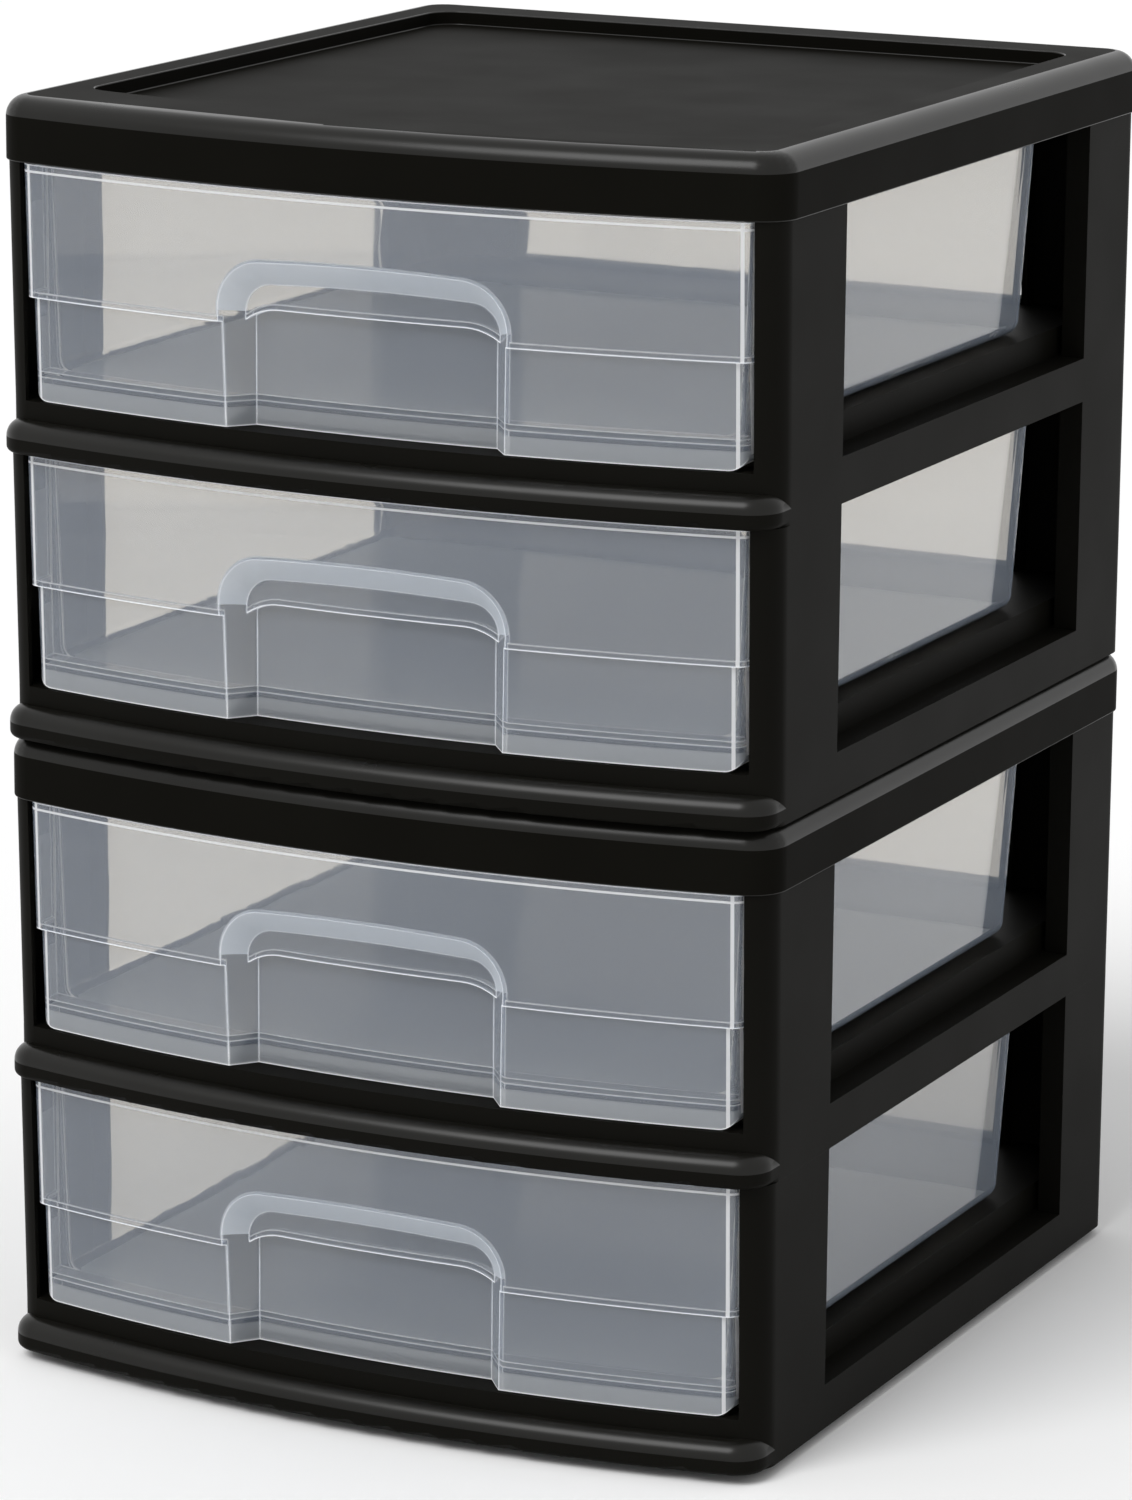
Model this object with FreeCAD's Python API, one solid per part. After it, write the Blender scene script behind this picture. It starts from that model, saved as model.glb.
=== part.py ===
import FreeCAD, Part
import math
import os

# A tower of two identical stacking units. Each unit is two tier frames with a drawer each, under
# one lid. All lengths are millimetres. Z is up, the drawers open towards -Y, and the origin is at
# the middle of the underside, so the tower is symmetrical about X = 0. Every moulding is shaped
# with its own foot at Z = 0, and is then set in its place in the tower.

# The tower as a whole
unit_names = ("lower", "upper")
tier_names = ("base", "top")
frame_width = 318.0
frame_depth = 344.0
front_bow = 18.0
tier_pitch = 109.5
lid_height = 24.0

# Walls and clearances of all the mouldings
frame_wall = 2.4
drawer_wall = 1.8
running_gap = 0.3
head_gap = 0.5
least_radius = 1.0
overrun = 1.0
height_tolerance = 0.01

# Front of a tier: a rounded lip, an upright apron above it, and a face that leans back downwards
lip_reach = 5.0
lip_height = 12.5
lip_corner_radius = 13.0
lip_top_radius = 6.5
lip_bottom_radius = 2.5
front_lean = 2.5
apron_top = 19.5

# Skirt, runner platform and rails of a tier
ledge_top = 17.3
platform_top = 28.7
platform_side_setback = 12.0
platform_rear_setback = 12.0
platform_corner_radius = 4.0
rear_rail_top = 31.0

# Corner posts, which are channels that are open inwards
post_corner_radius = 12.0
post_flange = 9.5
front_post_width = 56.5
rear_post_width = 53.5
rear_post_return = 45.0

# Spigots on the posts, which locate the frame or lid above
spigot_height = 8.0
spigot_bond = 10.0
spigot_length = 38.0

# Lid: a tray top inside a rounded rim
lid_overhang = 1.5
lid_corner_radius = 15.0
lid_edge_radius = 8.0
rim_side = 20.0
rim_front = 36.0
rim_rear = 28.0
recess_depth = 5.5
recess_corner_radius = 12.0

# Ring under a unit, which drops into the recess of the lid below
nest_drop = 4.0
nest_gap = 1.2

# Drawer tub
tub_side_setback_top = 14.3
tub_side_setback_bottom = 18.0
tub_front_setback_top = 6.0
tub_front_setback_bottom = 9.0
tub_rear_setback_top = 69.0
tub_rear_setback_bottom = 73.0
tub_corner_radius = 8.0
tub_floor_radius = 6.0
rim_flange_width = 2.5

# Drawer front: a shallow cap, whose lower half is stepped in
cap_corner_radius = 6.0
cap_upper_draft = 0.5
cap_lower_draft = 0.7
panel_step = 1.6
step_height = 59.0
panel_bottom_radius = 7.0

# Finger scoop in the drawer front
scoop_half_width = 62.0
scoop_top = 84.0
scoop_corner_radius = 20.0
scoop_upper_depth = 10.5
scoop_lower_depth = 14.0
scoop_side_slope = 0.8
scoop_top_slope = 0.95
scoop_radius_slope = 0.75
scoop_arch_rise = 4.5
scoop_arch_flat = 38.0
scoop_arch_run = 14.0

# How much of a drawer stays in the frame when it is pulled out, and the ribs that end its travel
drawer_kept_inside = 45.0
stop_rib_drop = 2.5
stop_rib_inner = 100.0
stop_rib_width = 20.0

# Places that follow from the sizes above
unit_pitch = tier_pitch * len(tier_names) + lid_height
overall_depth = frame_depth + front_bow + lip_reach + lid_overhang
frame_half = frame_width / 2
frame_rear_y = overall_depth / 2 - lid_overhang
front_corner_y = frame_rear_y - frame_depth
front_mid_y = front_corner_y - front_bow
bow_radius = (frame_half ** 2 + front_bow ** 2) / (2 * front_bow)
bow_centre_y = front_mid_y + bow_radius
front_post_edge_y = front_corner_y + front_post_width
rear_post_edge_y = frame_rear_y - rear_post_width
cap_side_setback = post_flange + running_gap
cap_depth = scoop_lower_depth + drawer_wall
platform_front_setback = cap_depth + running_gap
drawer_top = tier_pitch - head_gap
panel_bottom = apron_top + running_gap
floor_bottom = platform_top + running_gap
floor_top = floor_bottom + drawer_wall
drawer_travel = frame_depth - tub_rear_setback_top - drawer_kept_inside
far = frame_width + frame_depth


def point(x, y, z):
    return FreeCAD.Vector(x, y, z)


def line(start, end):
    return Part.makeLine(start, end)


def arc(start, middle, end):
    return Part.Arc(start, middle, end).toShape()


def plan(side, front, rear, front_radius, rear_radius):
    """An outline seen from above, given by how far it stands outside the frame's own outline."""
    return {
        "side": side,
        "front": front,
        "rear": rear,
        "front_radius": max(front_radius, least_radius),
        "rear_radius": max(rear_radius, least_radius),
    }


def grown(outline, by):
    """The same outline moved outwards all round, or inwards where the distance is negative."""
    return plan(
        outline["side"] + by,
        outline["front"] + by,
        outline["rear"] + by,
        outline["front_radius"] + by,
        outline["rear_radius"] + by,
    )


def plan_wire(outline, z):
    """Straight sides and back, a bowed front and four rounded corners, at one height."""
    half = frame_half + outline["side"]
    rear_y = frame_rear_y + outline["rear"]
    bow = bow_radius + outline["front"]
    front_r = outline["front_radius"]
    rear_r = outline["rear_radius"]

    # A front corner's centre is its own radius inside both the bow and the side
    front_x = half - front_r
    reach = bow - front_r
    front_y = bow_centre_y - math.sqrt(reach ** 2 - front_x ** 2)
    across_share = front_x / reach
    along_share = (front_y - bow_centre_y) / reach
    tangent_x = across_share * bow
    tangent_y = bow_centre_y + along_share * bow
    bisector = FreeCAD.Vector(1 + across_share, along_share, 0).normalize()
    front_bend_x = front_x + front_r * bisector.x
    front_bend_y = front_y + front_r * bisector.y

    rear_x = half - rear_r
    rear_corner_y = rear_y - rear_r
    rear_bend = rear_r * math.sqrt(0.5)
    right = [
        arc(
            point(rear_x, rear_y, z),
            point(rear_x + rear_bend, rear_corner_y + rear_bend, z),
            point(half, rear_corner_y, z),
        ),
        line(point(half, rear_corner_y, z), point(half, front_y, z)),
        arc(
            point(half, front_y, z),
            point(front_bend_x, front_bend_y, z),
            point(tangent_x, tangent_y, z),
        ),
    ]
    left = [
        arc(
            point(-tangent_x, tangent_y, z),
            point(-front_bend_x, front_bend_y, z),
            point(-half, front_y, z),
        ),
        line(point(-half, front_y, z), point(-half, rear_corner_y, z)),
        arc(
            point(-half, rear_corner_y, z),
            point(-rear_x - rear_bend, rear_corner_y + rear_bend, z),
            point(-rear_x, rear_y, z),
        ),
    ]
    back = line(point(-rear_x, rear_y, z), point(rear_x, rear_y, z))
    front = arc(
        point(tangent_x, tangent_y, z),
        point(0, bow_centre_y - bow, z),
        point(-tangent_x, tangent_y, z),
    )
    return Part.Wire([back] + right + [front] + left)


def block(outline, z_low, z_high):
    """An upright block of one outline."""
    return Part.Face(plan_wire(outline, z_low)).extrude(point(0, 0, z_high - z_low))


def leaning_block(low_outline, z_low, high_outline, z_high):
    """A block whose outline changes evenly from its foot to its head."""
    return Part.makeLoft([plan_wire(low_outline, z_low), plan_wire(high_outline, z_high)], True, True)


def slab(x_low, x_high, y_low, y_high, z_low, z_high):
    """A plain box between two corners."""
    corner = point(x_low, y_low, z_low)
    return Part.makeBox(x_high - x_low, y_high - y_low, z_high - z_low, corner)


def slab_pair(x_low, x_high, y_low, y_high, z_low, z_high):
    """The same box on the right and on the left."""
    right = slab(x_low, x_high, y_low, y_high, z_low, z_high)
    return right.fuse(slab(-x_high, -x_low, y_low, y_high, z_low, z_high))


def ring(outline, wall, z_low, z_high):
    """An upright wall that runs all round, inside one outline."""
    outer = block(outline, z_low, z_high)
    return outer.cut(block(grown(outline, -wall), z_low - overrun, z_high + overrun))


def rounded_at(solid, z, radius):
    """The solid with the outline that it has at one height rounded over."""
    edges = []
    for edge in solid.Edges:
        box = edge.BoundBox
        if abs(box.ZMin - z) < height_tolerance and abs(box.ZMax - z) < height_tolerance:
            edges.append(edge)
    return solid.makeFillet(radius, edges)


def joined(solids):
    """One solid from several that overlap."""
    return solids[0].multiFuse(solids[1:]).removeSplitter()


head_plan = plan(0, 0, 0, post_corner_radius, post_corner_radius)
foot_plan = plan(0, -front_lean, 0, post_corner_radius, post_corner_radius)
foot_inside_plan = grown(foot_plan, -frame_wall)
lip_plan = plan(0, lip_reach, 0, lip_corner_radius, post_corner_radius)
platform_plan = plan(
    -platform_side_setback,
    -platform_front_setback,
    -frame_wall,
    platform_corner_radius,
    platform_corner_radius,
)
foot_wall_plan = plan(
    -platform_side_setback,
    -platform_front_setback,
    -platform_rear_setback,
    platform_corner_radius,
    platform_corner_radius,
)
lid_plan = plan(lid_overhang, lid_overhang, lid_overhang, lid_corner_radius, lid_corner_radius)
recess_plan = plan(
    lid_overhang - rim_side,
    lid_overhang - rim_front,
    lid_overhang - rim_rear,
    recess_corner_radius,
    recess_corner_radius,
)
nest_plan = grown(recess_plan, -nest_gap)


def frame_outside():
    """Lip, apron, skirt, runner platform and rear rail of a tier, before they are hollowed."""
    front_zone = slab(-far, far, -far, front_post_edge_y, 0, tier_pitch)
    rail_half = frame_half - rear_post_return
    rail_zone = slab(-rail_half, rail_half, frame_rear_y - post_flange, far, 0, tier_pitch)
    lip = rounded_at(block(lip_plan, 0, lip_height), lip_height, lip_top_radius)
    lip = rounded_at(lip, 0, lip_bottom_radius)
    return joined([
        block(foot_plan, 0, ledge_top),
        lip,
        block(foot_plan, 0, apron_top).common(front_zone),
        block(platform_plan, 0, platform_top),
        block(foot_plan, 0, rear_rail_top).common(rail_zone),
    ])


def frame_hollow():
    """The space under a tier's top surfaces, which leaves them one wall thick."""
    lip_under = lip_height - frame_wall
    front_end = front_post_edge_y - frame_wall
    front_zone = slab(-far, far, -far, front_end, -overrun, tier_pitch)
    lip_space = block(grown(lip_plan, -frame_wall), -overrun, lip_under)
    return joined([
        rounded_at(lip_space, lip_under, lip_top_radius - frame_wall),
        block(foot_inside_plan, -overrun, ledge_top - frame_wall),
        block(foot_inside_plan, -overrun, apron_top - frame_wall).common(front_zone),
        block(grown(platform_plan, -frame_wall), -overrun, platform_top - frame_wall),
    ])


def post_zones(z_low, z_high, inset, depth):
    """Boxes round the four posts, inset from the post edges by a wall or not at all."""
    inner_x = frame_half - depth
    return_x = frame_half - rear_post_return + inset
    return_y = frame_rear_y - depth
    front_legs = slab_pair(inner_x, far, -far, front_post_edge_y - inset, z_low, z_high)
    rear_legs = slab_pair(inner_x, far, rear_post_edge_y + inset, far, z_low, z_high)
    rear_returns = slab_pair(return_x, far, return_y, far, z_low, z_high)
    return front_legs.multiFuse([rear_legs, rear_returns])


def frame_posts():
    """Four channel posts, closed outwards and open inwards, that lean back towards their feet."""
    z_foot = ledge_top - frame_wall
    z_above = tier_pitch + overrun
    column = block(foot_plan, z_foot, apron_top).fuse(
        leaning_block(foot_plan, apron_top, head_plan, tier_pitch)
    )
    head_inside_plan = grown(head_plan, -frame_wall)
    space = block(foot_inside_plan, z_foot - overrun, apron_top).multiFuse([
        leaning_block(foot_inside_plan, apron_top, head_inside_plan, tier_pitch),
        block(head_inside_plan, tier_pitch, z_above),
    ])
    posts = column.common(post_zones(z_foot, tier_pitch, 0, post_flange))
    channel_zones = post_zones(z_foot - overrun, z_above, frame_wall, post_flange + overrun)
    return posts.cut(space.common(channel_zones))


def frame_spigots():
    """Short walls inside the post heads, which stand up into the frame or lid above."""
    z_low = tier_pitch - spigot_bond
    z_top = tier_pitch + spigot_height
    fit_plan = grown(foot_inside_plan, -running_gap)
    inside = block(grown(fit_plan, -frame_wall), z_low - overrun, z_top + overrun)
    walls = block(fit_plan, z_low, z_top).fuse(block(foot_inside_plan, z_low, tier_pitch))
    front_end = front_corner_y + spigot_length
    rear_end = frame_rear_y - spigot_length
    post_inner_x = frame_half - post_flange
    front_zones = slab_pair(post_inner_x, far, -far, front_end, z_low, z_top)
    rear_zones = slab_pair(frame_half - spigot_length, far, rear_end, far, z_low, z_top)
    return walls.cut(inside).common(front_zones.fuse(rear_zones))


def stop_ribs(z_high):
    """Two ribs that hang into the drawer below and meet its rear wall when it is pulled out."""
    rear_wall_y = frame_rear_y - tub_rear_setback_top - drawer_wall
    y_high = rear_wall_y - drawer_travel - running_gap
    x_high = stop_rib_inner + stop_rib_width
    return slab_pair(stop_rib_inner, x_high, y_high - frame_wall, y_high, -stop_rib_drop, z_high)


def tier_frame(tier):
    """One moulding of a tier: base, platform and four posts."""
    inside_plate = platform_top - frame_wall / 2
    pieces = [
        frame_outside().cut(frame_hollow()),
        ring(foot_wall_plan, frame_wall, 0, inside_plate),
        frame_posts(),
        frame_spigots(),
    ]
    if tier == "base":
        pieces.append(ring(nest_plan, frame_wall, -nest_drop, inside_plate))
    else:
        pieces.append(stop_ribs(inside_plate))
    return joined(pieces)


def lid():
    """Lid of a unit: a shallow tray in a rounded rim, hollow from below."""
    tray_top = lid_height - recess_depth
    under_rim = lid_height - frame_wall
    body = rounded_at(block(lid_plan, 0, lid_height), lid_height, lid_edge_radius)
    hollow = block(grown(lid_plan, -frame_wall), -overrun, under_rim)
    hollow = rounded_at(hollow, under_rim, lid_edge_radius - frame_wall)
    tray = block(grown(recess_plan, frame_wall), tray_top - frame_wall, lid_height)
    recess = block(recess_plan, tray_top, lid_height + overrun)
    shell = body.cut(hollow.cut(tray)).cut(recess)

    # Pads thicken the skirt at the posts, so that the post heads meet the lid with their full wall
    pad_top = lid_height - lid_edge_radius
    pads = block(head_plan, 0, pad_top).cut(
        block(grown(head_plan, -frame_wall), -overrun, lid_height)
    )
    return joined([
        shell,
        pads.common(post_zones(0, pad_top, 0, post_flange)),
        ring(foot_wall_plan, frame_wall, 0, lid_height - frame_wall / 2),
        stop_ribs(tray_top - frame_wall / 2),
    ])


def lean_at(height):
    """How far the front has leaned back at a height above the tier's foot."""
    return front_lean * (tier_pitch - height) / (tier_pitch - apron_top)


def upper_cap_plan(height):
    """Outline of the upper half of the drawer front."""
    draft = cap_upper_draft * (drawer_top - height) / (drawer_top - step_height)
    return plan(-cap_side_setback - draft, -lean_at(height), 0, cap_corner_radius, cap_corner_radius)


def lower_cap_plan(height):
    """Outline of the lower half of the drawer front, stepped in under the upper half."""
    draft = cap_lower_draft * (step_height - height) / (step_height - panel_bottom)
    side = -cap_side_setback - cap_upper_draft - panel_step - draft
    front = -lean_at(height) - panel_step
    return plan(side, front, 0, cap_corner_radius, cap_corner_radius)


def tub_plan(height):
    """Outline of the drawer tub, which narrows towards its floor."""
    share = (drawer_top - height) / (drawer_top - floor_bottom)
    side = tub_side_setback_top + (tub_side_setback_bottom - tub_side_setback_top) * share
    front = tub_front_setback_top + (tub_front_setback_bottom - tub_front_setback_top) * share
    rear = tub_rear_setback_top + (tub_rear_setback_bottom - tub_rear_setback_top) * share
    return plan(-side, -front, -rear, tub_corner_radius, tub_corner_radius)


def tapered(plan_at, low, high, by):
    """A block that follows a family of outlines, grown by a distance, between two heights."""
    return leaning_block(grown(plan_at(low), by), low, grown(plan_at(high), by), high)


def cap_strip(solid, depth):
    """The part of a front block that lies within a depth behind the bowed front."""
    behind = plan(frame_half / 2, -depth, frame_half, least_radius, least_radius)
    return solid.cut(block(behind, -overrun, tier_pitch + overrun))


def scoop_wire(depth, by):
    """Elevation of the scoop at a depth behind the middle of the front."""
    half = scoop_half_width - scoop_side_slope * depth + by
    top = scoop_top - scoop_top_slope * depth + by
    radius = scoop_corner_radius - scoop_radius_slope * depth + by
    bend = radius * (1 - math.sqrt(0.5))
    y = front_mid_y + depth
    return Part.Wire([
        line(point(-half, y, 0), point(-half, y, top - radius)),
        arc(
            point(-half, y, top - radius),
            point(-half + bend, y, top - bend),
            point(-half + radius, y, top),
        ),
        line(point(-half + radius, y, top), point(half - radius, y, top)),
        arc(
            point(half - radius, y, top),
            point(half - bend, y, top - bend),
            point(half, y, top - radius),
        ),
        line(point(half, y, top - radius), point(half, y, 0)),
        line(point(half, y, 0), point(-half, y, 0)),
    ])


def arch_zone(by):
    """Everything under the edge of the upper half, which rises in a flat arch inside the scoop."""
    edge_z = step_height + by
    crown_z = edge_z + scoop_arch_rise
    radius = (scoop_arch_run ** 2 + scoop_arch_rise ** 2) / (2 * scoop_arch_rise)
    half_angle = math.asin(scoop_arch_run / radius) / 2
    bend_x = scoop_arch_flat + radius * math.sin(half_angle)
    bend_z = crown_z - radius * (1 - math.cos(half_angle))
    end_x = scoop_arch_flat + scoop_arch_run
    side_x = scoop_half_width + scoop_corner_radius
    y = front_mid_y - front_bow
    outline = Part.Wire([
        line(point(-side_x, y, -overrun), point(-side_x, y, edge_z)),
        line(point(-side_x, y, edge_z), point(-end_x, y, edge_z)),
        arc(
            point(-end_x, y, edge_z),
            point(-bend_x, y, bend_z),
            point(-scoop_arch_flat, y, crown_z),
        ),
        line(point(-scoop_arch_flat, y, crown_z), point(scoop_arch_flat, y, crown_z)),
        arc(
            point(scoop_arch_flat, y, crown_z),
            point(bend_x, y, bend_z),
            point(end_x, y, edge_z),
        ),
        line(point(end_x, y, edge_z), point(side_x, y, edge_z)),
        line(point(side_x, y, edge_z), point(side_x, y, -overrun)),
        line(point(side_x, y, -overrun), point(-side_x, y, -overrun)),
    ])
    return Part.Face(outline).extrude(point(0, frame_depth, 0))


def scoop(wall):
    """The scoop's space, or with a wall the space that its moulding fills."""
    slant = wall * math.sqrt(2)
    start = -front_bow / 2
    end = scoop_lower_depth + wall + front_bow / 4
    funnel = Part.makeLoft([scoop_wire(start, slant), scoop_wire(end, slant)], True, True)
    behind = []
    for depth in (scoop_upper_depth, scoop_lower_depth):
        outline = plan(0, -depth - wall, 0, least_radius, least_radius)
        behind.append(block(outline, -overrun, tier_pitch))
    shallow = funnel.cut(behind[0])
    deep = funnel.common(arch_zone(wall)).cut(behind[1])
    return shallow.fuse(deep)


def panel_corner_zone():
    """Elevation that rounds the two bottom corners of the drawer front."""
    radius = panel_bottom_radius
    bend_z = panel_bottom + radius
    half = frame_half + lower_cap_plan(bend_z)["side"]
    rest = radius * (1 - math.sqrt(0.5))
    y = front_mid_y - front_bow
    outline = Part.Wire([
        line(point(-half + radius, y, panel_bottom), point(half - radius, y, panel_bottom)),
        arc(
            point(half - radius, y, panel_bottom),
            point(half - rest, y, panel_bottom + rest),
            point(half, y, bend_z),
        ),
        line(point(half, y, bend_z), point(far, y, bend_z)),
        line(point(far, y, bend_z), point(far, y, tier_pitch)),
        line(point(far, y, tier_pitch), point(-far, y, tier_pitch)),
        line(point(-far, y, tier_pitch), point(-far, y, bend_z)),
        line(point(-far, y, bend_z), point(-half, y, bend_z)),
        arc(
            point(-half, y, bend_z),
            point(-half + rest, y, panel_bottom + rest),
            point(-half + radius, y, panel_bottom),
        ),
    ])
    return Part.Face(outline).extrude(point(0, frame_depth, 0))


def drawer_outside():
    """Cap, tub and rim flange of a drawer, before they are hollowed."""
    upper_cap = cap_strip(tapered(upper_cap_plan, step_height, drawer_top, 0), cap_depth)
    lower_cap = cap_strip(tapered(lower_cap_plan, panel_bottom, step_height, 0), cap_depth)
    tub = tapered(tub_plan, floor_bottom, drawer_top, 0)
    flange_plan = grown(tub_plan(drawer_top), rim_flange_width)
    flange_plan["front"] = -tub_front_setback_top
    return joined([
        upper_cap,
        lower_cap.common(panel_corner_zone()),
        rounded_at(tub, floor_bottom, tub_floor_radius),
        block(flange_plan, drawer_top - drawer_wall, drawer_top),
    ])


def drawer_space():
    """The space inside a drawer, over its floor, and the space behind the foot of its front."""
    inner_step = step_height + drawer_wall
    above = drawer_top + overrun
    strip = cap_depth - drawer_wall
    tub_space = tapered(tub_plan, floor_top, above, -drawer_wall)
    inside = joined([
        rounded_at(tub_space, floor_top, tub_floor_radius - drawer_wall),
        cap_strip(tapered(upper_cap_plan, inner_step, above, -drawer_wall), strip),
        cap_strip(tapered(lower_cap_plan, floor_top, inner_step, -drawer_wall), strip),
    ])
    under_floor = tapered(lower_cap_plan, panel_bottom - overrun, floor_bottom, -drawer_wall)
    return inside.fuse(under_floor)


def drawer():
    """A clear drawer: bowed front with a finger scoop, and a tub with a rim flange behind it."""
    shell = drawer_outside().cut(scoop(0))
    return shell.cut(drawer_space().cut(scoop(drawer_wall))).removeSplitter()


def one_solid(name, shape):
    """The single sound solid that a piece has to be."""
    if len(shape.Solids) != 1 or not shape.Solids[0].isValid():
        raise ValueError(f"{name}: {len(shape.Solids)} solids, valid {shape.isValid()}")
    return shape.Solids[0]


def tower():
    """Every piece of the tower by name, with each unit standing on the one below."""
    frames = {tier: one_solid(tier, tier_frame(tier)) for tier in tier_names}
    lid_piece = one_solid("lid", lid())
    drawer_piece = one_solid("drawer", drawer())
    pieces = {}
    for unit_index, unit in enumerate(unit_names):
        unit_z = nest_drop + unit_index * unit_pitch
        for tier_index, tier in enumerate(tier_names):
            tier_z = unit_z + tier_index * tier_pitch
            number = unit_index * len(tier_names) + tier_index + 1
            pieces[f"{unit}_{tier}_frame"] = frames[tier].translated(point(0, 0, tier_z))
            pieces[f"drawer_{number}"] = drawer_piece.translated(point(0, 0, tier_z))
        lid_z = unit_z + unit_pitch - lid_height
        pieces[f"{unit}_lid"] = lid_piece.translated(point(0, 0, lid_z))
    return pieces


os.makedirs("parts", exist_ok=True)
for piece_name, piece in tower().items():
    piece.exportStep(f"parts/{piece_name}.step")
    box = piece.optimalBoundingBox(False)
    print(
        f"{piece_name}: volume {piece.Volume / 1000:.1f} cm3, faces {len(piece.Faces)},"
        f" x {box.XMin:.2f} {box.XMax:.2f}, y {box.YMin:.2f} {box.YMax:.2f},"
        f" z {box.ZMin:.2f} {box.ZMax:.2f}"
    )
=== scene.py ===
# %% [markdown]
# A drawer tower in black and clear plastic.
# The tower is two identical stacking units. Each has two black frames, a black lid with a shallow
# tray in its top, and two hazy clear drawers. The CAD model gives every moulding its true shape and
# place. Here each moulding gets what a CAD solid lacks: softly rounded edges, the grain of moulded
# plastic, and light. Blender's unit is the metre, and the drawers open towards -Y.

# %% Load the frame
import math

import bmesh
import bpy
from mathutils import Matrix, Vector


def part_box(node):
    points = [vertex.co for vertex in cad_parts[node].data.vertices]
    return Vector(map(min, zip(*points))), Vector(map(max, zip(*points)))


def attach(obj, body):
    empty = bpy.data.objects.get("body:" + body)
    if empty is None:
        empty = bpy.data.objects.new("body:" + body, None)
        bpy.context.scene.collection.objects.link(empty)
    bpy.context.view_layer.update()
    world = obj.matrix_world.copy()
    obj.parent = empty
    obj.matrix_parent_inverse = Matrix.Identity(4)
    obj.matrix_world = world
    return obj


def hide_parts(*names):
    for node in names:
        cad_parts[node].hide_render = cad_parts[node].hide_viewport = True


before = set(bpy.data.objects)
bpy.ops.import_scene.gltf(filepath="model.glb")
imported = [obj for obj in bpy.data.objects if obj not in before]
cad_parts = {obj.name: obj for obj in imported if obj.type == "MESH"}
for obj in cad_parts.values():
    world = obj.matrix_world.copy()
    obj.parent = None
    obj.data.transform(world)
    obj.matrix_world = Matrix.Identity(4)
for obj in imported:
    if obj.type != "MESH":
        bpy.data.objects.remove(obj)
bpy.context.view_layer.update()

MM = 0.001

# %% [markdown]
# The camera stands in front of the tower, to its right and a little above it, and far away, which
# keeps the upright edges nearly parallel. Its direction is given by two angles and a small roll. The
# lens is long: the focal length is given in picture heights, so that the sensor can have any size.

# %% Place the camera
AZIMUTH = math.radians(26.25)
ELEVATION = math.radians(13.55)
ROLL = math.radians(0.497)
CAMERA_DISTANCE = 2.4286
AIM = Vector((0.0, 0.01075, 0.2224))
AIM_SIDEWAYS = -0.00715
SENSOR_WIDTH = 36.0
FOCAL_SHARE = 6178.4 / 1500
NEAREST_SEEN = 0.05
FARTHEST_SEEN = 60


def direction(azimuth, elevation):
    """From the tower towards a place that is round it by one angle and above it by another."""
    return Vector((
        math.sin(azimuth) * math.cos(elevation),
        -math.cos(azimuth) * math.cos(elevation),
        math.sin(elevation),
    ))


back = direction(AZIMUTH, ELEVATION)
level = Vector((math.cos(AZIMUTH), math.sin(AZIMUTH), 0.0))
rise = back.cross(level)
right = level * math.cos(ROLL) + rise * math.sin(ROLL)
up = rise * math.cos(ROLL) - level * math.sin(ROLL)

camera = bpy.data.objects.new("camera", bpy.data.cameras.new("camera"))
bpy.context.collection.objects.link(camera)
camera.matrix_world = Matrix((
    (right.x, up.x, back.x, 0),
    (right.y, up.y, back.y, 0),
    (right.z, up.z, back.z, 0),
    (0, 0, 0, 1),
))
camera.location = AIM + level * AIM_SIDEWAYS + back * CAMERA_DISTANCE
camera.data.sensor_width = SENSOR_WIDTH
camera.data.lens = FOCAL_SHARE * SENSOR_WIDTH
camera.data.clip_start = NEAREST_SEEN
camera.data.clip_end = FARTHEST_SEEN
bpy.context.scene.camera = camera
print("camera at", [round(v, 3) for v in camera.location], "lens", round(camera.data.lens, 1))

# %% [markdown]
# The floor is a plain white sheet, large enough to fill the picture, and it keeps the soft shadow
# under the tower. An object in Blender shows a mesh, and a material is a little network of nodes
# that ends in a Principled shader. Both are made the same way each time, so two helpers do it.

# %% Floor
FLOOR_HALF = 20.0
FLOOR_WHITE = (0.96, 0.96, 0.96, 1)
FLOOR_ROUGHNESS = 0.9


def new_object(name, mesh):
    """An object that shows a mesh, linked to the scene."""
    made = bpy.data.objects.new(name, mesh)
    bpy.context.collection.objects.link(made)
    return made


def new_material(name):
    """A material with nothing but a Principled shader, wired to the output."""
    material = bpy.data.materials.new(name)
    material.use_nodes = True
    tree = material.node_tree
    tree.nodes.clear()
    output = tree.nodes.new("ShaderNodeOutputMaterial")
    shader = tree.nodes.new("ShaderNodeBsdfPrincipled")
    tree.links.new(shader.outputs["BSDF"], output.inputs["Surface"])
    return material, shader, output


floor_mesh = bpy.data.meshes.new("floor")
floor_mesh.from_pydata(
    [
        (-FLOOR_HALF, -FLOOR_HALF, 0),
        (FLOOR_HALF, -FLOOR_HALF, 0),
        (FLOOR_HALF, FLOOR_HALF, 0),
        (-FLOOR_HALF, FLOOR_HALF, 0),
    ],
    [],
    [(0, 1, 2, 3)],
)
floor = new_object("floor", floor_mesh)
floor_white, shader, _ = new_material("floor_white")
shader.inputs["Base Color"].default_value = FLOOR_WHITE
shader.inputs["Roughness"].default_value = FLOOR_ROUGHNESS
shader.inputs["Specular IOR Level"].default_value = 0.0
floor_mesh.materials.append(floor_white)
print("floor", FLOOR_HALF * 2, "m wide")

# %% [markdown]
# The tower stands in even light, as in a white studio, so the world is a pale sky on all sides. To
# the camera, in a gloss and through the clear plastic the sky shows as plain white, so that it meets
# the floor without a line. The Light Path node tells those rays from the ones that only bring light,
# and a brighter sky for all of them would wash out the pale plastic.

# %% Sky
SKY_LIGHT = 0.65
SKY_SHOWN = 1.0

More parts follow.
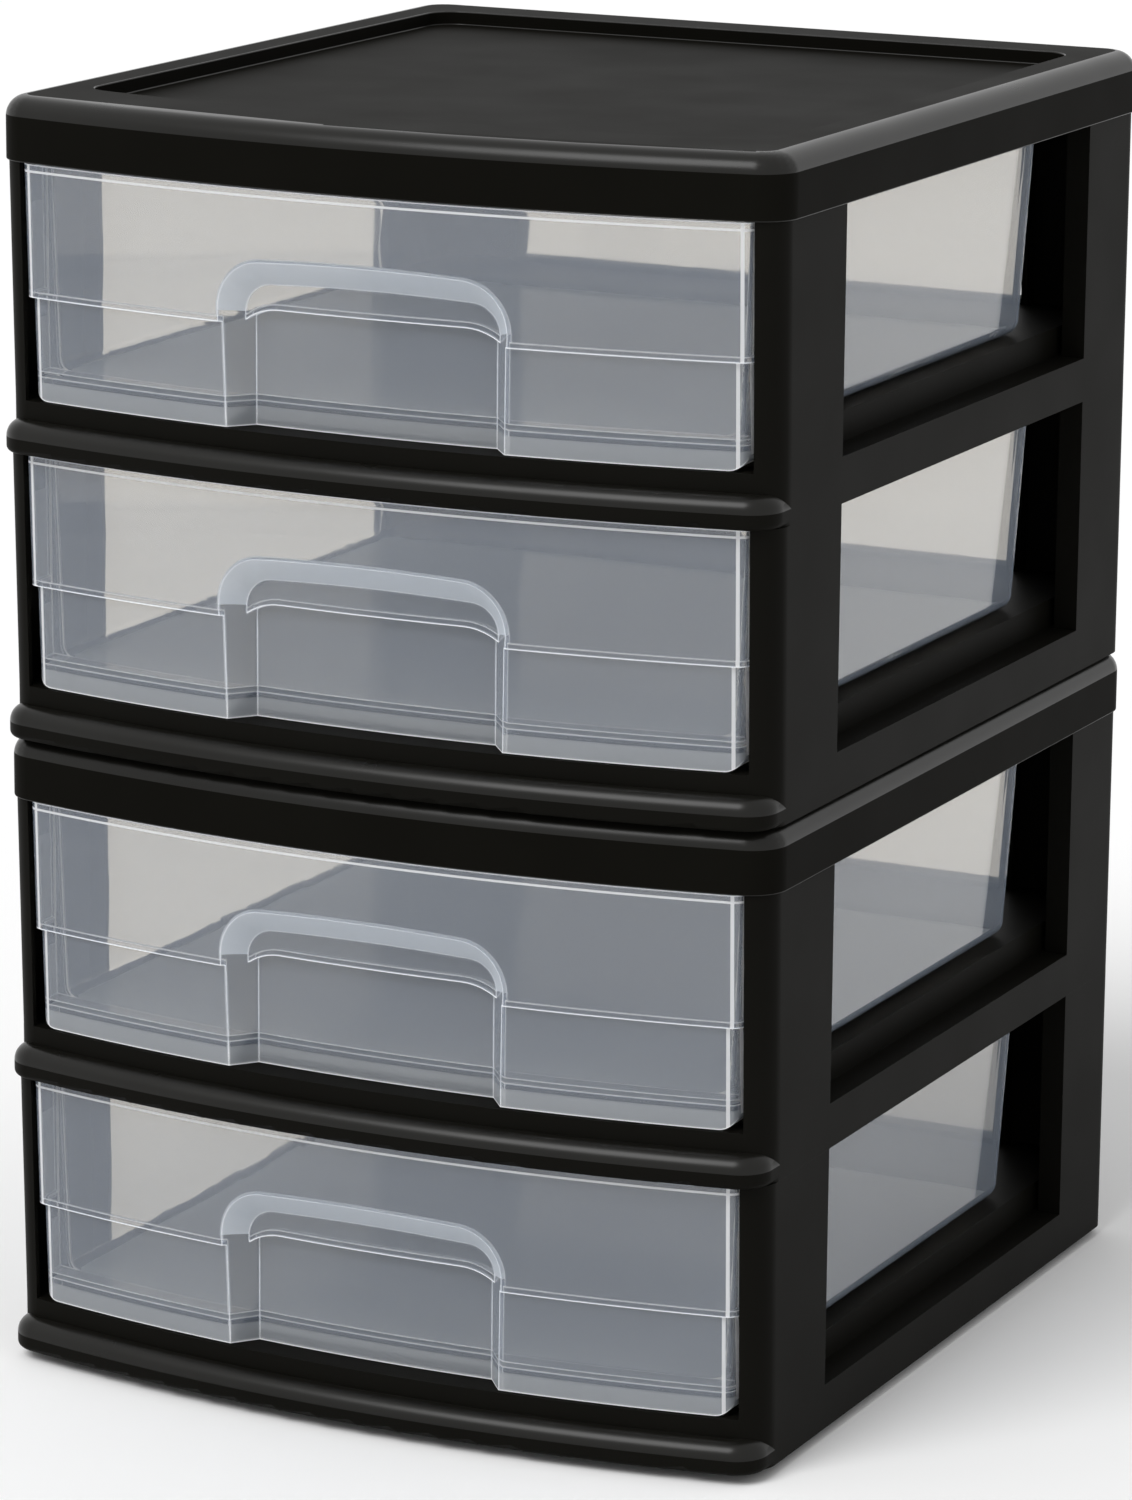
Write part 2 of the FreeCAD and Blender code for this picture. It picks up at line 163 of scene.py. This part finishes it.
world = bpy.data.worlds.new("studio")
bpy.context.scene.world = world
world.use_nodes = True
sky_tree = world.node_tree
sky = sky_tree.nodes["Background"]
sky.inputs["Color"].default_value = (1, 1, 1, 1)
ray = sky_tree.nodes.new("ShaderNodeLightPath")
seen = ray.outputs["Is Camera Ray"]
for kind in ("Is Glossy Ray", "Is Transmission Ray"):
    either = sky_tree.nodes.new("ShaderNodeMath")
    either.operation = "MAXIMUM"
    sky_tree.links.new(seen, either.inputs[0])
    sky_tree.links.new(ray.outputs[kind], either.inputs[1])
    seen = either.outputs["Value"]
strength = sky_tree.nodes.new("ShaderNodeMapRange")
strength.inputs["To Min"].default_value = SKY_LIGHT
strength.inputs["To Max"].default_value = SKY_SHOWN
sky_tree.links.new(seen, strength.inputs["Value"])
sky_tree.links.new(strength.outputs["Result"], sky.inputs["Strength"])
print("the sky lights at", SKY_LIGHT, "and shows as", SKY_SHOWN)

# %% [markdown]
# One large soft lamp stands high in front of the tower. It puts a highlight on each rounded edge
# that faces up, and a soft shadow on the floor behind. A sun lamp is the plainest choice: its light
# is the same all over the scene, and its angle alone sets how soft the shadow is.

# %% Lamp
LAMP_AZIMUTH = math.radians(-15)
LAMP_ELEVATION = math.radians(50)
LAMP_SPREAD = math.radians(32)
LAMP_ENERGY = 1.7

lamp = bpy.data.objects.new("lamp", bpy.data.lights.new("lamp", "SUN"))
bpy.context.collection.objects.link(lamp)
lamp.rotation_mode = "QUATERNION"
lamp.rotation_quaternion = direction(LAMP_AZIMUTH, LAMP_ELEVATION).to_track_quat("Z", "Y")
lamp.data.energy = LAMP_ENERGY
lamp.data.angle = LAMP_SPREAD
bpy.context.scene.view_settings.view_transform = "Standard"
print("lamp energy", lamp.data.energy)

# %% [markdown]
# Moulded plastic is never quite even. Its tone and gloss drift slowly over a large face, and a fine
# grain, taken from the mould, covers all of it. An image could give both, but it would need a map of
# each face. Noise in the piece's own coordinates needs none, and it keeps its real size.

# %% Helpers for uneven plastic
NOISE_USUAL = (0.3, 0.7)
SLOW_DETAIL = 3
FINE_DETAIL = 2
GRAIN_SIZE = 0.45 * MM
GRAIN_DEPTH = 0.05 * MM
GRAIN_STRENGTH = 0.12


def place_noise(tree, size, detail):
    """Noise that sits still on the piece, with features of one size in metres."""
    where = tree.nodes.new("ShaderNodeTexCoord")
    noise = tree.nodes.new("ShaderNodeTexNoise")
    noise.inputs["Scale"].default_value = 1 / size
    noise.inputs["Detail"].default_value = detail
    tree.links.new(where.outputs["Object"], noise.inputs["Vector"])
    return noise.outputs["Fac"]


def spread(tree, value, low, high, usual=NOISE_USUAL):
    """A value stretched from its usual range to a low and a high number."""
    span = tree.nodes.new("ShaderNodeMapRange")
    span.inputs["From Min"].default_value = usual[0]
    span.inputs["From Max"].default_value = usual[1]
    span.inputs["To Min"].default_value = low
    span.inputs["To Max"].default_value = high
    tree.links.new(value, span.inputs["Value"])
    return span.outputs["Result"]


def blend_colours(tree, value, first, second):
    """A colour that runs from a first to a second as a value runs from 0 to 1."""
    mix = tree.nodes.new("ShaderNodeMix")
    mix.data_type = "RGBA"
    mix.inputs["A"].default_value = (*first, 1)
    mix.inputs["B"].default_value = (*second, 1)
    tree.links.new(value, mix.inputs["Factor"])
    return mix.outputs["Result"]


def add_grain(tree, shader):
    """Fine grain on a shader, through a bump node."""
    bump = tree.nodes.new("ShaderNodeBump")
    bump.inputs["Strength"].default_value = GRAIN_STRENGTH
    bump.inputs["Distance"].default_value = GRAIN_DEPTH
    tree.links.new(place_noise(tree, GRAIN_SIZE, FINE_DETAIL), bump.inputs["Height"])
    tree.links.new(bump.outputs["Normal"], shader.inputs["Normal"])


print("grain of", round(GRAIN_SIZE / MM, 2), "mm")

# %% [markdown]
# The frames and lids are black polypropylene with a satin face: nearly black, with a soft
# reflection. The shine is set well below that of bare plastic, because the grain scatters most of
# it. On the rounded edges the mould is polished, so their black is glossier; a painted sheen also
# makes it a little lighter there.

# %% Black plastic
PLASTIC_IOR = 1.49
TONE_DRIFT = 60 * MM
GLOSS_DRIFT = 40 * MM
SHADE_DARK = (0.0044, 0.0041, 0.0032)
SHADE_LIGHT = (0.0053, 0.0050, 0.0039)
# The lighter shade below is a painted sheen for the rounded edges.
SHADE_PAINTED_SHEEN = (0.0070, 0.0067, 0.0055)


def black_plastic(name, shades, shine, roughness):
    """Satin black moulded plastic, whose shade and roughness drift between two values each."""
    material, shader, _ = new_material(name)
    tree = material.node_tree
    tone = spread(tree, place_noise(tree, TONE_DRIFT, SLOW_DETAIL), 0, 1)
    tree.links.new(blend_colours(tree, tone, *shades), shader.inputs["Base Color"])
    gloss = spread(tree, place_noise(tree, GLOSS_DRIFT, FINE_DETAIL), *roughness)
    tree.links.new(gloss, shader.inputs["Roughness"])
    shader.inputs["IOR"].default_value = PLASTIC_IOR
    shader.inputs["Specular IOR Level"].default_value = shine
    add_grain(tree, shader)
    return material


satin = (SHADE_DARK, SHADE_LIGHT)
# The rounded edges get a lighter black than the faces: a painted sheen.
polished_with_painted_sheen = (SHADE_LIGHT, SHADE_PAINTED_SHEEN)
frame_black = black_plastic("frame_black", satin, shine=0.032, roughness=(0.46, 0.5))
lid_black = black_plastic("lid_black", satin, shine=0.014, roughness=(0.48, 0.52))
# Glossier black with a painted sheen, for the rounds and bevels.
black_round_painted_sheen = black_plastic("black_round_painted_sheen", polished_with_painted_sheen, shine=0.24, roughness=(0.27, 0.31))
print("black plastics:", frame_black.name, lid_black.name, black_round_painted_sheen.name)

# %% [markdown]
# The drawers are clear polypropylene, which is a little milky. Light runs along inside such a wall
# and comes out where the wall folds or ends, so every fold and rim looks white. That glow is painted
# here: near a fold the wall is given a nearly white scatter. White strips could be modelled along
# all of them, but Cycles' Bevel node finds those places by itself: it gives the normal that a rounded
# edge would have, which leaves the true one only close to a fold.

# %% Find the folds
FOLD_REACH = 1.3 * MM
FOLD_TURN = math.cos(math.radians(30))
FOLD_SAMPLES = 8


def fold_mask(tree):
    """1 at a fold or an end of a wall, and 0 farther from it than the reach."""
    smoothed = tree.nodes.new("ShaderNodeBevel")
    smoothed.samples = FOLD_SAMPLES
    smoothed.inputs["Radius"].default_value = FOLD_REACH
    surface = tree.nodes.new("ShaderNodeNewGeometry")
    agreement = tree.nodes.new("ShaderNodeVectorMath")
    agreement.operation = "DOT_PRODUCT"
    tree.links.new(smoothed.outputs["Normal"], agreement.inputs[0])
    tree.links.new(surface.outputs["Normal"], agreement.inputs[1])
    size = tree.nodes.new("ShaderNodeMath")
    size.operation = "ABSOLUTE"
    tree.links.new(agreement.outputs["Value"], size.inputs[0])
    return spread(tree, size.outputs["Value"], 0, 1, usual=(1, FOLD_TURN))


print("folds show white within", round(FOLD_REACH / MM, 2), "mm")

# %% [markdown]
# Most light passes through a clear wall and is bent by it, and a small share is scattered: some
# comes back, and some goes on into the drawer. So the material mixes clear plastic with two plain
# scattering shaders, and the share of those is low on a plain wall. At a fold the share is high and
# its colour nearly white: that is the painted glow of the light that comes out there. The same
# mixture, with a larger share, makes the frosted faces, where the mould is rough.

# %% Clear plastic
WALL_TINT = (0.85, 0.815, 0.75)
WALL_HAZE = (0.70, 0.81, 1.0)
FROST_HAZE = (0.86, 0.92, 1.0)
# The next two values paint the glow at folds and rims: a nearly white scatter colour and its share.
PAINTED_GLOW_WHITE = (0.97, 0.98, 1.0)
PAINTED_GLOW_SHARE = 0.97
ONWARD_SHARE = 0.35
CLOUD_DRIFT = 30 * MM


def scattering(tree, folds, colour):
    """Light that is scattered back and onwards, but at a fold only back, which brightens the painted
    glow there.
    """
    scattered = tree.nodes.new("ShaderNodeMixShader")
    onward = spread(tree, folds, ONWARD_SHARE, 0, usual=(0, 1))
    tree.links.new(onward, scattered.inputs["Fac"])
    for kind, socket in (("ShaderNodeBsdfDiffuse", 1), ("ShaderNodeBsdfTranslucent", 2)):
        part = tree.nodes.new(kind)
        tree.links.new(colour, part.inputs["Color"])
        tree.links.new(part.outputs["BSDF"], scattered.inputs[socket])
    return scattered.outputs["Shader"]


def clear_plastic(name, haze_colour, haze, roughness):
    """Milky clear plastic, with a painted white glow at its folds. Its haze is the share of light that
    its plain walls scatter.
    """
    material, shader, output = new_material(name)
    tree = material.node_tree
    shader.inputs["Base Color"].default_value = (*WALL_TINT, 1)
    shader.inputs["IOR"].default_value = PLASTIC_IOR
    shader.inputs["Transmission Weight"].default_value = 1.0
    clouds = spread(tree, place_noise(tree, CLOUD_DRIFT, SLOW_DETAIL), *roughness)
    tree.links.new(clouds, shader.inputs["Roughness"])
    folds = fold_mask(tree)
    colour = blend_colours(tree, folds, haze_colour, PAINTED_GLOW_WHITE)
    mix = tree.nodes.new("ShaderNodeMixShader")
    tree.links.new(spread(tree, folds, haze, PAINTED_GLOW_SHARE, usual=(0, 1)), mix.inputs["Fac"])
    tree.links.new(shader.outputs["BSDF"], mix.inputs[1])
    tree.links.new(scattering(tree, folds, colour), mix.inputs[2])
    tree.links.new(mix.outputs["Shader"], output.inputs["Surface"])
    return material


drawer_clear = clear_plastic("drawer_clear", WALL_HAZE, haze=0.145, roughness=(0.02, 0.04))
drawer_foot = clear_plastic("drawer_foot", FROST_HAZE, haze=0.28, roughness=(0.05, 0.09))
drawer_frost = clear_plastic("drawer_frost", FROST_HAZE, haze=0.62, roughness=(0.1, 0.16))
# Painted white for the lines of light at the corners and under the rim: a painted highlight.
drawer_painted_glow = clear_plastic("drawer_painted_glow", PAINTED_GLOW_WHITE, haze=0.85, roughness=(0.1, 0.16))
clear_finishes = (drawer_clear, drawer_foot, drawer_frost, drawer_painted_glow)
print("clear plastics:", [finish.name for finish in clear_finishes])

# %% [markdown]
# The CAD mesh is many thin triangles, which shine unevenly. Remeshing would blur the edges, so a
# copy of the mesh is joined into whole faces instead, wherever two triangles lie in one plane. The
# copy then stands for the CAD moulding, rides on the same body, and has the same size and place.

# %% Dress a moulding
JOIN_WITHIN = 0.002 * MM
FLAT_WITHIN = math.radians(0.6)
FACE_WEIGHT = 100


def whole_faces(name):
    """A mesh being edited: the CAD mesh with its triangles joined into whole faces."""
    form = bmesh.new()
    form.from_mesh(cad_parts[name].data)
    bmesh.ops.remove_doubles(form, verts=form.verts, dist=JOIN_WITHIN)
    bmesh.ops.dissolve_limit(form, angle_limit=FLAT_WITHIN, verts=form.verts, edges=form.edges)
    for face in form.faces:
        face.smooth = True
        face.material_index = 0
    return form


def cut(form, place, facing):
    """A cut all round a moulding along a plane, which adds edges and removes nothing."""
    everything = form.verts[:] + form.edges[:] + form.faces[:]
    bmesh.ops.bisect_plane(form, geom=everything, plane_co=place, plane_no=facing)


def dressed(name, body, form, materials):
    """A moulding in place of its CAD node, in the order of materials that its faces use."""
    mesh = bpy.data.meshes.new(name + "_moulding")
    form.to_mesh(mesh)
    form.free()
    for material in materials:
        mesh.materials.append(material)
    piece = new_object(name + "_moulding", mesh)
    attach(piece, body)
    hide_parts(name)
    print(piece.name, "faces", len(mesh.polygons), "of", len(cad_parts[name].data.polygons))
    return piece


def even_normals(piece):
    """Normals that follow the large faces, so that reflections on them stay straight."""
    even = piece.modifiers.new("even_normals", "WEIGHTED_NORMAL")
    even.weight = FACE_WEIGHT
    even.keep_sharp = True


# %% [markdown]
# The two units are alike, so one loop makes the black mouldings of both: for each unit a base frame,
# a top frame on its posts, and a lid. A moulded edge is never quite sharp: the mould is rounded by
# some tenths of a millimetre, and that round catches the light along every edge. A Bevel modifier
# makes it wherever two faces meet at a clear angle, and gives it the glossier black, which also
# carries a painted sheen in a lighter shade. The large rounds of the lids and lips are in the CAD
# shape already, and only get that black where they face up. A lid is cut all round first, near the
# foot of its round, so that the glossier black with its painted sheen ends in a straight line.

# %% Black mouldings
EDGE_ROUND = 0.5 * MM
EDGE_SEGMENTS = 2
LID_ROUND = 8.0 * MM
POLISHED_SHARE = 0.9
FOLD_FROM = math.radians(32)
ROUND_LOW = math.sin(math.radians(1.5))
ROUND_HIGH = math.sin(math.radians(88.5))


def is_round(face, lowest):
    """True for a strip of a round that faces up, neither a wall nor a level top, and is high enough."""
    return ROUND_LOW < face.normal.z < ROUND_HIGH and face.calc_center_median().z > lowest


def black_moulding(name, body, material, round_depth=None):
    """A black moulding with rounded edges. Its rounds shine more and carry a painted sheen, down to a
    depth if one is given.
    """
    form = whole_faces(name)
    lowest = 0
    if round_depth:
        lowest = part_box(name)[1].z - round_depth
        cut(form, (0, 0, lowest), (0, 0, 1))
    for face in form.faces:
        face.material_index = 1 if is_round(face, lowest) else 0
    piece = dressed(name, body, form, (material, black_round_painted_sheen))
    bevel = piece.modifiers.new("rounded_edges", "BEVEL")
    bevel.width = EDGE_ROUND
    bevel.segments = EDGE_SEGMENTS
    bevel.limit_method = "ANGLE"
    bevel.angle_limit = FOLD_FROM
    bevel.material = 1
    even_normals(piece)


for unit in ("lower", "upper"):
    for tier in ("base", "top"):
        black_moulding(f"{unit}_{tier}_frame", f"{unit}_unit", frame_black)
    round_depth = LID_ROUND * POLISHED_SHARE
    black_moulding(f"{unit}_lid", f"{unit}_unit", lid_black, round_depth)

# %% [markdown]
# The four drawers are alike too. A real one is a thin shell from one mould, so its walls, rim, step
# and finger scoop are all one clear plastic, and its folds make it visible. Each upright corner of
# the front shows two white lines of light, where its round begins and where it ends, and a third line
# runs along the lower edge of the thickened rim. These lines are painted: strips of the front get a
# nearly white scatter, as a painted highlight. A face can't be part white, so the front is first cut
# along the edges of these lines. A cut adds edges and leaves the shape as it is.

# %% Cut the lines into a drawer
RIM_LINE_TOP = 2.2 * MM
RIM_LINE_WIDTH = 0.9 * MM
CORNER_LINES = ((4.6 * MM, 3.3 * MM), (0.7 * MM, 0.15 * MM))
PANEL_SIDE_STEP = 2.1 * MM
BOTTOM_ROUND = 7 * MM


def cut_lines(form, low, high):
    """The cuts that bound the foot of the front, the rim line and the lines at the corners."""
    cut(form, (0, 0, low.z + BOTTOM_ROUND), (0, 0, 1))
    for depth in (RIM_LINE_TOP, RIM_LINE_TOP + RIM_LINE_WIDTH):
        cut(form, (0, 0, high.z - depth), (0, 0, 1))
    for side_step in (0, PANEL_SIDE_STEP):
        for line in CORNER_LINES:
            for inset in line:
                cut(form, (high.x - side_step - inset, 0, 0), (1, 0, 0))
                cut(form, (side_step + inset - high.x, 0, 0), (1, 0, 0))


print("lines at the corners, in mm:", [[round(edge / MM, 2) for edge in line] for line in CORNER_LINES])

# %% [markdown]
# Each face then gets its finish by where it is and which way it faces, which needs no picking by
# hand and works for all four drawers. The floor and the arch over the scoop are frosted in the
# mould, which hides scratches there and gives the fingers a grip, and the rounded foot of the front
# is a little frosted too.

# %% Choose the finish of a face
FRONT_ZONE = 30 * MM
STEP_FOOT = 39.2 * MM
SCOOP_REACH = 68 * MM
SCOOP_FOOT = 38 * MM
FLOOR_ZONE = 13 * MM
UPRIGHT = 0.3
SLIGHT = 0.03


def is_corner_line(face, middle, low, high):
    """True for the strips where the round of an upright front corner begins and ends."""
    outward = face.normal.x * math.copysign(1, middle.x)
    if outward < SLIGHT or abs(face.normal.z) > UPRIGHT:
        return False
    side_step = 0 if middle.z > low.z + STEP_FOOT else PANEL_SIDE_STEP
    inset = high.x - abs(middle.x) - side_step
    return any(inner > inset > outer for inner, outer in CORNER_LINES)


def is_rim_line(face, middle, high):
    """True for the strip of the front between the two cuts under the rim."""
    depth = high.z - middle.z
    return face.normal.y < -UPRIGHT and RIM_LINE_TOP < depth < RIM_LINE_TOP + RIM_LINE_WIDTH


def is_arch(face, middle, low):
    """True for the sloping arch over the finger scoop."""
    over_scoop = abs(middle.x) < SCOOP_REACH and middle.z > low.z + SCOOP_FOOT
    return over_scoop and abs(face.normal.z) > SLIGHT


def finish_of(face, low, high):
    """The finish of a face of the drawer, as its place among the clear finishes."""
    middle = face.calc_center_median()
    finish = drawer_clear
    if middle.y > low.y + FRONT_ZONE:
        if abs(face.normal.z) > 1 - SLIGHT and middle.z < low.z + FLOOR_ZONE:
            finish = drawer_frost
    # The corner and rim strips get the painted white lines: a painted highlight.
    elif is_corner_line(face, middle, low, high) or is_rim_line(face, middle, high):
        finish = drawer_painted_glow
    elif middle.z < low.z + BOTTOM_ROUND:
        finish = drawer_foot
    elif is_arch(face, middle, low):
        finish = drawer_frost
    return clear_finishes.index(finish)


print("the front takes up", round(FRONT_ZONE / MM), "mm of a drawer's depth")

# %% [markdown]
# The folds of a drawer are only marked as sharp, and not rounded by a Bevel modifier as on the black
# pieces: the walls are thin and full of short edges, which would hold the round to almost nothing,
# and the fold mask already gives each fold its painted glow.

# %% Clear drawers


def clear_drawer(name):
    """A drawer with painted white lines of light at its corners and rim, and frosted faces."""
    form = whole_faces(name)
    low = Vector(min(vert.co[i] for vert in form.verts) for i in range(3))
    high = Vector(max(vert.co[i] for vert in form.verts) for i in range(3))
    cut_lines(form, low, high)
    for face in form.faces:
        face.material_index = finish_of(face, low, high)
    for edge in form.edges:
        edge.smooth = edge.calc_face_angle(0) < FOLD_FROM
    piece = dressed(name, name, form, clear_finishes)
    even_normals(piece)


for number in range(1, 5):
    clear_drawer(f"drawer_{number}")
